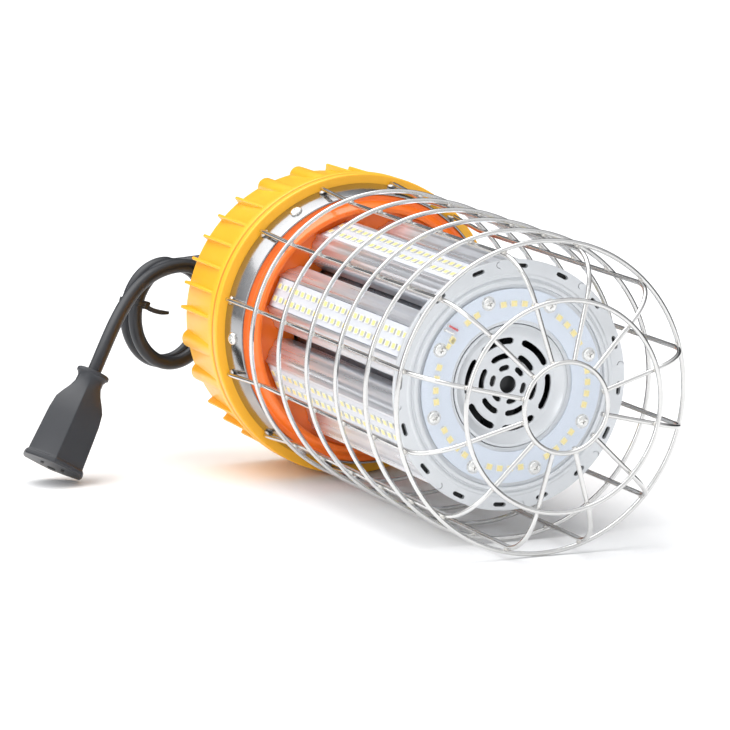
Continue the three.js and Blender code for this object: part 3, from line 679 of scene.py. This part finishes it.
# ------------------------------------------------------------------ light columns
# Eight bright extrusions stand round the core. Each carries a white board with two rows of yellow
# chips between raised rails, and has grooved, bevelled shoulders that mirror their neighbours.
column_metal = surface("column_metal", (0.76, 0.78, 0.82), 0.30, spread=0.06, tint=0.05, grain=260,
                       fine=700, bump=0.03, depth=0.0001, stretch=(1, 0.02, 1), Metallic=0.85)
board_white = surface("board_white", (0.66, 0.675, 0.72), 0.42, spread=0.05, tint=0.03, grain=80, fine=1500,
                      bump=0.05)
chip_body = surface("chip_body", (0.80, 0.80, 0.76), 0.35, tint=0.04, grain=300, bump=0.05)
phosphor = surface("phosphor", (0.90, 0.76, 0.30), 0.33, tint=0.08, grain=600, bump=0.06)
solder = surface("solder", (0.66, 0.66, 0.65), 0.3, tint=0.15, grain=900, bump=0.3, Metallic=1.0)
half_outline = [
    (8.8, 63.0), (8.8, 64.7), (10.3, 64.7), (10.8, 63.6), (11.9, 62.2), (13.0, 61.9), (14.6, 60.7),
    (15.2, 59.2), (16.6, 57.2), (18.2, 55.9), (18.8, 54.9), (18.8, 52.2), (15.0, 45.3),
]
outline = [(x, y) for x, y in reversed(half_outline)] + [(-x, y) for x, y in half_outline]
outline = rounded(outline, 0.35, 2)
column_back, column_front = -227.3, -41.3
column_clock, strip_face, strip_half = 5, 64.3, 8.4
chip_rows, chip_pitch, chips_in_row, first_chip = (-3.7, 3.7), 8.3, 22, 5.0


def chip(shape, windows, clock, radius, s, side, long_s, long_side, tall):
    """An LED: a small white body with a yellow window in its top."""
    for scale, low, high, target in ((1.0, -0.1, tall, shape), (0.74, tall - 0.1, tall + 0.06, windows)):
        a, b = long_s / 2 * scale, long_side / 2 * scale
        corners = ((-a, -b), (a, -b), (a, b), (-a, b))
        target.loft([[lamp(radius + h, clock, s + x, side + y) for x, y in corners] for h in (low, high)])


strip_corners = ((-strip_half, strip_face - 1), (strip_half, strip_face - 1), (strip_half, strip_face),
                 (-strip_half, strip_face))
pad_corners = ((-0.45, -1.4), (0.45, -1.4), (0.45, 1.4), (-0.45, 1.4))
for number in range(1, 9):
    clock = column_clock + 45 * (number - 1)
    body = Shape()
    body.loft([[lamp(y, clock, s, x) for x, y in outline] for s in (column_back, column_front)])
    piece(f"column_{number}", body, column_metal, "lamp", [f"light_column_{number}"], sharp=25)
    strip = Shape()
    strip.loft([[lamp(h, clock, s, x) for x, h in strip_corners]
                for s in (column_back + 1, column_front - 1)])
    piece(f"strip_board_{number}", strip, board_white, "lamp", [f"led_strip_{number}"],
          bevel=0.0001)
    bodies, windows, pads = Shape(), Shape(), Shape()
    for place in range(chips_in_row):
        s = column_front - first_chip - place * chip_pitch
        for side in chip_rows:
            chip(bodies, windows, clock, strip_face, s, side, 5.0, 3.5, 0.7)
            for off in (-2.9, 2.9):
                pads.loft([[lamp(strip_face + h, clock, s + off + x, side + y) for x, y in pad_corners]
                           for h in (0.0, 0.22)])
    piece(f"strip_chips_{number}", bodies, chip_body, "lamp")
    piece(f"strip_windows_{number}", windows, phosphor, "lamp")
    piece(f"strip_pads_{number}", pads, solder, "lamp")


# The core tube behind the columns carries the fan's air back to the housing, where the LED driver
# sits. Both keep their own solids.
def dress(node, material):
    """Gives a solid that is already the right shape its finish."""
    part = bpy.data.objects[node]
    part.data.materials.clear()
    part.data.materials.append(material)


core_metal = surface("core_metal", (0.52, 0.53, 0.55), 0.3, spread=0.06, tint=0.06, grain=40, bump=0.06,
                     Metallic=1.0)
dress("core_tube", core_metal)
dress("led_driver", core_metal)


# ------------------------------------------------------------------ end plate, board and cover
# A pale painted plate closes the columns, with a pressed bezel, vent slots and lanced half-moons
# round its rim. Inside the bezel a ring board of yellow chips sits under a clear moulded cover.
plate_paint = surface("plate_paint", (0.66, 0.68, 0.70), 0.33, spread=0.05, tint=0.03, grain=40, fine=1400,
                      bump=0.06, depth=0.0001, Metallic=0.35)
plate_back, plate_front, rib_front, bezel_front = -41.0, -38.5, -38.0, -36.5
plate_bore, plate_radius = 33.4, 67.6
plate_shape = turn_round([
    (plate_bore, plate_back), (plate_radius, plate_back), (plate_radius, plate_front), (60.2, plate_front),
    (59.6, rib_front), (58.2, rib_front), (57.6, plate_front), (57.1, plate_front), (56.5, bezel_front),
    (54.5, bezel_front), (54.5, plate_front), (plate_bore, plate_front),
], 0.4)
plate = piece("end_plate_painted", plate_shape, plate_paint, "lamp", ["end_plate"])


def arc_block(shape, radius, width, clock, half, low, high, steps=8, ends=3):
    """A slot's cutter: a curved bar with round ends, from s = low to s = high."""
    section = []
    end = math.degrees(width / 2 / radius)
    for k in range(steps + 1):
        section.append((radius + width / 2, clock - half + 2 * half * k / steps))
    for k in range(1, ends):
        turn = math.pi / 2 - math.pi * k / ends
        section.append((radius + width / 2 * math.sin(turn), clock + half + end * math.cos(turn)))
    for k in range(steps + 1):
        section.append((radius - width / 2, clock + half - 2 * half * k / steps))
    for k in range(1, ends):
        turn = -math.pi / 2 + math.pi * k / ends
        section.append((radius + width / 2 * math.sin(turn), clock - half - end * math.cos(turn)))
    shape.loft([[lamp(r, c, s) for r, c in section] for s in (low, high)])


slots = Shape()
slot_radius, slot_width, pair_clock, pair_half, slot_half = 64.3, 2.4, 35, 11.3, 2.3
for k in range(8):
    for side in (-1, 1):
        arc_block(slots, slot_radius, slot_width, pair_clock + 45 * k + side * pair_half, slot_half,
                  plate_back - 1.5, plate_front + 1.5)
moon_radius, moon_sweep, moon_steps = 65.4, 95, 12
moon = []
for reach, sweep in ((1.9, -moon_sweep), (1.5, moon_sweep)):
    for step in range(moon_steps + 1):
        turn = math.radians(sweep - 2 * sweep * step / moon_steps)
        moon.append((moon_radius + reach * math.sin(turn), reach * math.cos(turn)))
for k in range(8):
    slots.loft([[lamp(r, pair_clock + 45 * k, s, x) for r, x in moon]
                for s in (plate_front - 0.9, plate_front + 1.5)])
cut_with(plate, slots)

# Painted shade: a thin near-black ring laid just behind the plate, under the vent slots and half-moons, so
# the openings show dark as the dim space behind them would.
shade_sheet_back, shade_sheet_front = -41.27, -41.03
vent_shade_sheet = turn_round([(60.6, shade_sheet_back), (66.8, shade_sheet_back), (66.8, shade_sheet_front),
                     (60.6, shade_sheet_front)], 0.05)
# Near-black painted shade seen through the plate's openings.
vent_painted_shade = surface("vent_painted_shade", (0.012, 0.012, 0.013), 0.7, tint=0.2)
piece("plate_gasket", vent_shade_sheet, vent_painted_shade, "lamp")

board_back, board_front = -38.2, -37.0
end_board_shape = turn_round([(35.6, board_back), (52.3, board_back), (52.3, board_front),
                              (35.6, board_front)], 0.1)
end_board_white = surface("end_board", (0.66, 0.72, 0.81), 0.4, spread=0.05, tint=0.02, grain=60,
                          fine=1400, bump=0.04)
piece("end_board", end_board_shape, end_board_white, "lamp", ["end_light_board"])
end_chips, end_windows, end_pads, end_screws = Shape(), Shape(), Shape(), Shape()


def end_chip(clock, radius=44.4, wide=3.6, long=3.4):
    """One chip of the end board with its window and its two solder pads."""
    for scale, low, high, target in ((1.0, -37.05, -36.3, end_chips), (0.88, -36.4, -36.22, end_windows)):
        a, b = wide / 2 * scale, long / 2 * scale
        target.loft([[lamp(radius + y, clock, s, x) for x, y in ((-a, -b), (a, -b), (a, b), (-a, b))]
                     for s in (low, high)])
    for off in (-1.75, 1.75):
        end_pads.loft([[lamp(radius + y, clock, s, off + x)
                        for x, y in ((-0.5, -1.2), (0.5, -1.2), (0.5, 1.2), (-0.5, 1.2))]
                       for s in (board_front - 0.02, board_front + 0.15)])


def disc_round(centre, radius, count=20):
    """A circle of points square to the light's axis, from metres."""
    return [centre + (lamp_right * math.cos(a) + lamp_up * math.sin(a)) * radius
            for a in round_angles(count)]


first_end_chip, end_chip_step = 11.9, 8
end_screw_radius, end_screw_clock, washer_radius = 47.2, 1, 0.0040
lead_in_place = (2, 2)  # the group and place that the leads' holes take
for k in range(8):
    for j in range(4):
        if (k, j) != lead_in_place:
            end_chip(45 * k + first_end_chip + end_chip_step * j)
    screw_clock = 45 * k + end_screw_clock
    end_screws.copy_of(screw_points, screw_faces,
                       upright(lamp(end_screw_radius, screw_clock, -36.95), nose_way, 15 + 50 * k, 0.92))
    end_pads.loft([disc_round(lamp(end_screw_radius, screw_clock, s), washer_radius)
                   for s in (board_front, board_front + 0.15)])
for clock, radius in ((126.6, 43.6), (131.2, 44.3)):  # a close pair beside the leads
    end_chip(clock, radius, 3.2, 2.6)
piece("end_chips", end_chips, chip_body, "lamp")
piece("end_windows", end_windows, phosphor, "lamp")
piece("end_pads", end_pads, solder, "lamp")
piece("end_screws", end_screws, screw_steel, "lamp", sharp=35)
red_sleeve = surface("red_sleeve", (0.62, 0.04, 0.05), 0.35, tint=0.1)
white_sleeve = surface("white_sleeve", (0.80, 0.80, 0.78), 0.35, tint=0.05)
lead_radius = 0.0006
for name, sleeve, clock in (("lead_red", red_sleeve, 119.0), ("lead_white", white_sleeve, 122.4)):
    line = path_through([lamp(45.2, clock, -37.2), lamp(46.0, clock, -35.6), lamp(48.6, clock + 1.0, -35.2),
                         lamp(50.8, clock + 1.4, -36.8)], 6)
    lead, blob = Shape(), Shape()
    lead.loft(tube_rings(line, lead_radius, 10))
    bead(blob, lamp(50.9, clock + 1.4, -36.9), 0.0011, 0.0008, nose_way)
    piece(name, lead, sleeve, "lamp", sharp=60)
    piece(name + "_solder", blob, solder, "lamp", sharp=60)

clear = surface("clear_cover", (0.90, 0.93, 0.97), 0.06, spread=0.02, tint=0.01, bump=0.02, Alpha=0.07)
cover_under, cover_front = -34.8, -33.2
cover_shape = turn_round([
    (33.7, board_back), (35.3, board_back), (35.3, cover_under), (52.6, cover_under), (52.6, board_back),
    (54.2, board_back), (54.2, cover_front), (33.7, cover_front),
], 0.5)
piece("lens_cover", cover_shape, clear, "lamp", ["end_cover"])


# ------------------------------------------------------------------ fan grille and fan
# The plate's middle is pressed into a shallow dish with a round hole and three rings of slots. A
# small black fan behind it moves air through the core, and keeps its own solids.
dish_back, dish_floor = -43.1, -41.8
dish_shape = turn_round([
    (0.01, dish_back), (28.2, dish_back), (31.6, -39.9), (33.1, plate_front), (33.0, -37.9), (31.6, -37.7),
    (30.9, -38.4), (27.4, -41.5), (26.6, dish_floor), (0.01, dish_floor),
], count=120)
grille = piece("fan_grille", dish_shape, plate_paint, "lamp", ["grille"])
vents = Shape()
vent_back, vent_front, vent_end = dish_back - 1.4, dish_floor + 1.3, 0.8
vents.loft([[lamp(4.8, 12 * k, s) for k in range(30)] for s in (vent_back, vent_front)])
for radius, width, half, turn in ((9.3, 3.0, 18, 28), (15.6, 3.2, 21, 30), (23.6, 3.6, 23.5, 30)):
    straight_half = half - math.degrees(width / 2 / radius) * vent_end
    for k in range(6):
        arc_block(vents, radius, width, turn + 60 * k, straight_half, vent_back, vent_front)
cut_with(grille, vents)
fan_plastic = surface("fan_plastic", (0.018, 0.019, 0.021), 0.4, spread=0.08, tint=0.2, grain=90, bump=0.08)
dress("fan_frame", fan_plastic)
dress("fan_rotor", fan_plastic)


# ------------------------------------------------------------------ glands
# Two black nylon cable glands screw into the back. The link cord's has a tapered strain relief;
# the other is the supply's, blanked with a plug.
gland_black = surface("gland_black", (0.020, 0.021, 0.024), 0.42, spread=0.06, tint=0.15, grain=70,
                      fine=1500, bump=0.12, depth=0.00015)
gland_offset, nut_radius = 51, 0.0112
nut_sections = ((-307.5, 0.94), (-308.1, 1.0), (-312.4, 1.0), (-313.2, 0.93))  # s, share of the radius


def gland(name, clock, profile, node):
    """A hexagon nut with a turned cap on it; the profile's points are radius and s."""
    shape = Shape()
    shape.loft([disc_round(lamp(gland_offset, clock, s), nut_radius * grow, 6) for s, grow in nut_sections])
    shape.loft([disc_round(lamp(gland_offset, clock, s), r * 0.001, 40) for r, s in profile])
    return piece(name, shape, gland_black, "lamp", [node], bevel=0.0004)


relief = [(9.6, -312.8), (9.6, -315.0), (8.6, -315.8)]
for k in range(6):  # the strain relief's rings, each a little smaller
    s, r = -316.2 - 2.9 * k, 7.4 - 0.38 * k
    relief += [(r - 0.9, s), (r, s - 0.3), (r - 0.1, s - 2.0), (r - 1.0, s - 2.3)]
gland("link_gland", 138, [*relief, (4.9, -333.1)], "output_gland")
plug = [(9.6, -312.8), (9.6, -315.2), (8.8, -317.0), (7.6, -318.0), (4.6, -318.0), (4.2, -316.6),
        (0.1, -316.6)]
gland("supply_gland", 10, plug, "inlet_gland")


# ------------------------------------------------------------------ swivel hook
# A forged bail turns on a stud in the middle of the back, with an open bow below it and a sprung
# latch that closes the bow's mouth. Here millimetres run across the hook's plane and out behind.
hook_clock = 253.8
hook_steel = surface("hook_steel", (0.60, 0.60, 0.59), 0.28, spread=0.08, tint=0.12, grain=60, fine=900,
                     bump=0.10, depth=0.0002, Metallic=1.0)


def hook_at(across, distance, side=0.0):
    """A place in the hook's plane, at a distance behind the housing's back."""
    return lamp(across, hook_clock, housing_back - distance, side)


stud = Shape()
stud_profile = [
    (13.2, 0.3), (14, 0.9), (14, 3.3), (13.3, 4.0), (5, 4.0), (5, 13.3), (7.4, 13.3), (8, 13.8), (8, 15.6),
    (7.2, 16.3), (2.0, 16.3), (1.6, 15.8), (0.1, 15.8),
]
stud.loft([[lamp(r, 360 * k / 48, housing_back - d) for k in range(48)] for r, d in stud_profile])
piece("stud", stud, hook_steel, "lamp", ["hook_stud"])


def hook_block(shape, across, distance, wide, long, thick):
    """A block in the hook's plane, centred there."""
    a, b, c = wide / 2, long / 2, thick / 2
    shape.loft([[hook_at(across - a, distance + d, -c), hook_at(across + a, distance + d, -c),
                 hook_at(across + a, distance + d, c), hook_at(across - a, distance + d, c)]
                for d in (-b, b)])


bail = Shape()
swivel_ring = [(5.3, 5), (13.0, 5), (13.5, 5.5), (13.5, 12.5), (13.0, 13), (5.3, 13)]
turn_round([(r, housing_back - d) for r, d in swivel_ring], count=48, shape=bail)
for side in (-1, 1):
    hook_block(bail, side * 11.25, 15.65, 4.5, 19.3, 8)
bridge_distance = 22.3
hook_block(bail, 0, bridge_distance, 27, 6, 8)
hook_block(bail, -9, 27.05, 6, 8.6, 4)
bow_radius, bow_distance, bow_from, bow_sweep, bow_steps = 23, 54, -48, 253, 40
bow_wire, bow_sides = 0.0035, 20
bow = [hook_at(6.5, bridge_distance), hook_at(8.2, 24.5), hook_at(10.5, 28.3)]
for k in range(bow_steps + 1):
    turn = math.radians(bow_from + bow_sweep * k / bow_steps)
    bow.append(hook_at(bow_radius * math.cos(turn), bow_distance + bow_radius * math.sin(turn)))
rings = tube_rings(path_through(bow, 2), bow_wire, bow_sides)
tip, onward, last = bow[-1], (bow[-1] - bow[-2]).normalized(), rings[-1]
for step in range(1, 6):  # the rounded tip
    turn = math.pi / 2 * step / 5.4
    rings.append([tip + onward * bow_wire * math.sin(turn) + (p - tip) * math.cos(turn) for p in last])
bail.loft(rings)
piece("hook_bail", bail, hook_steel, "hook", ["hook"], sharp=38, bevel=0.0006)
pivot = Vector((-9, 28.8))
pin = Shape()
pin.loft([[hook_at(pivot.x + r * math.cos(a), pivot.y + r * math.sin(a), z) for a in round_angles(24)]
          for r, z in ((1.2, -4.5), (1.5, -4.2), (1.5, 4.2), (1.2, 4.5))])
piece("hook_pin", pin, screw_steel, "hook", ["latch_pin"], sharp=45)
latch = Shape()
tip_turn, tip_radius = math.radians(199), 17.7  # just inside the bow's tip
lean = Vector((tip_radius * math.cos(tip_turn), bow_distance + tip_radius * math.sin(tip_turn))) - pivot
long_way = lean.normalized()
cross_way = Vector((long_way.y, -long_way.x))


def latch_at(along, across, side):
    """A place on the latch: along it from the pin, across it, and to its side."""
    spot = pivot + long_way * along + cross_way * across
    return hook_at(spot.x, spot.y, side)


ear_radius, ear_inside, ear_outside = 3.2, 2.3, 3.7
ear = [(ear_radius * math.cos(a), ear_radius * math.sin(a))
       for a in (math.pi / 2 + math.pi * q / 14 for q in range(15))]
ear += [(lean.length * 0.5, -2.0), (lean.length * 0.5, 2.0)]
for side in (-1, 1):
    latch.loft([[latch_at(x, y, side * z) for x, y in ear] for z in (ear_inside, ear_outside)])
tongue = ((-1.5, -ear_outside), (1.5, -ear_outside), (1.5, ear_outside), (-1.5, ear_outside))
latch.loft([[latch_at(x, y, z) for y, z in tongue] for x in (6.6, lean.length * 0.6, lean.length)])
piece("hook_latch_plate", latch, screw_steel, "latch", ["hook_latch"], sharp=30, bevel=0.0003)


# ------------------------------------------------------------------ room
# A white paper floor under a broad overhead lamp, a softer one at the left and a high, wide sky.
# The room is pale above and towards the lens, and dim low down behind, which draws metal edges.
floor_z, floor_side, floor_near, floor_far = -0.0003, 9, -6, 14
floor_mesh = bpy.data.meshes.new("floor")
floor_corners = [(-floor_side, floor_near, floor_z), (floor_side, floor_near, floor_z),
                 (floor_side, floor_far, floor_z), (-floor_side, floor_far, floor_z)]
floor_mesh.from_pydata(floor_corners, [], [(0, 1, 2, 3)])
floor_mesh.materials.append(surface("floor_paper", (0.95, 0.95, 0.95), 0.8, spread=0.05, tint=0.01, grain=8,
                                    fine=200, bump=0.02))
floor = bpy.data.objects.new("floor", floor_mesh)
bpy.context.collection.objects.link(floor)


def soft_lamp(name, place, aim, size, power):
    """A square softbox that faces its aim."""
    data = bpy.data.lights.new(name, "AREA")
    data.shape = "SQUARE"
    data.size = size
    data.energy = power
    made = bpy.data.objects.new(name, data)
    made.location = place
    made.rotation_euler = (Vector(aim) - Vector(place)).to_track_quat("-Z", "Y").to_euler()
    bpy.context.collection.objects.link(made)


soft_lamp("overhead", (-0.3, 0.1, 1.7), (0, 0, 0), 1.6, 12)
soft_lamp("left_fill", (-1.9, -1.0, 0.9), (0, 0, 0.08), 1.0, 7)
sky_data = bpy.data.lights.new("high_softbox", "SUN")
sky_data.energy = 1.5
sky_data.angle = math.radians(70)
sky = bpy.data.objects.new("high_softbox", sky_data)
sky.rotation_euler = (math.radians(-18), math.radians(-22), 0)
bpy.context.collection.objects.link(sky)

world = bpy.data.worlds.new("studio")
bpy.context.scene.world = world
world.use_nodes = True
nodes, links = world.node_tree.nodes, world.node_tree.links
coords = nodes.new("ShaderNodeTexCoord")
facing = nodes.new("ShaderNodeVectorMath")
facing.operation = "DOT_PRODUCT"
facing.inputs[1].default_value = Vector((-0.40, -0.45, 0.80)).normalized()
shade = nodes.new("ShaderNodeValToRGB")
shade.color_ramp.elements[0].position = 0.42
shade.color_ramp.elements[0].color = (0.05, 0.05, 0.055, 1)
shade.color_ramp.elements[1].position = 0.74
shade.color_ramp.elements[1].color = (0.95, 0.96, 0.98, 1)
half_up = nodes.new("ShaderNodeMapRange")
half_up.inputs["From Min"].default_value = -1
seen = nodes.new("ShaderNodeLightPath")
pick = nodes.new("ShaderNodeMix")
pick.data_type = "RGBA"
pick.inputs[7].default_value = (1, 1, 1, 1)  # the backdrop itself is white
links.new(coords.outputs["Generated"], facing.inputs[0])
links.new(facing.outputs["Value"], half_up.inputs["Value"])
links.new(half_up.outputs["Result"], shade.inputs["Fac"])
links.new(seen.outputs["Is Camera Ray"], pick.inputs[0])
links.new(shade.outputs["Color"], pick.inputs[6])
links.new(pick.outputs[2], nodes["Background"].inputs["Color"])
bpy.context.scene.view_settings.view_transform = "Standard"
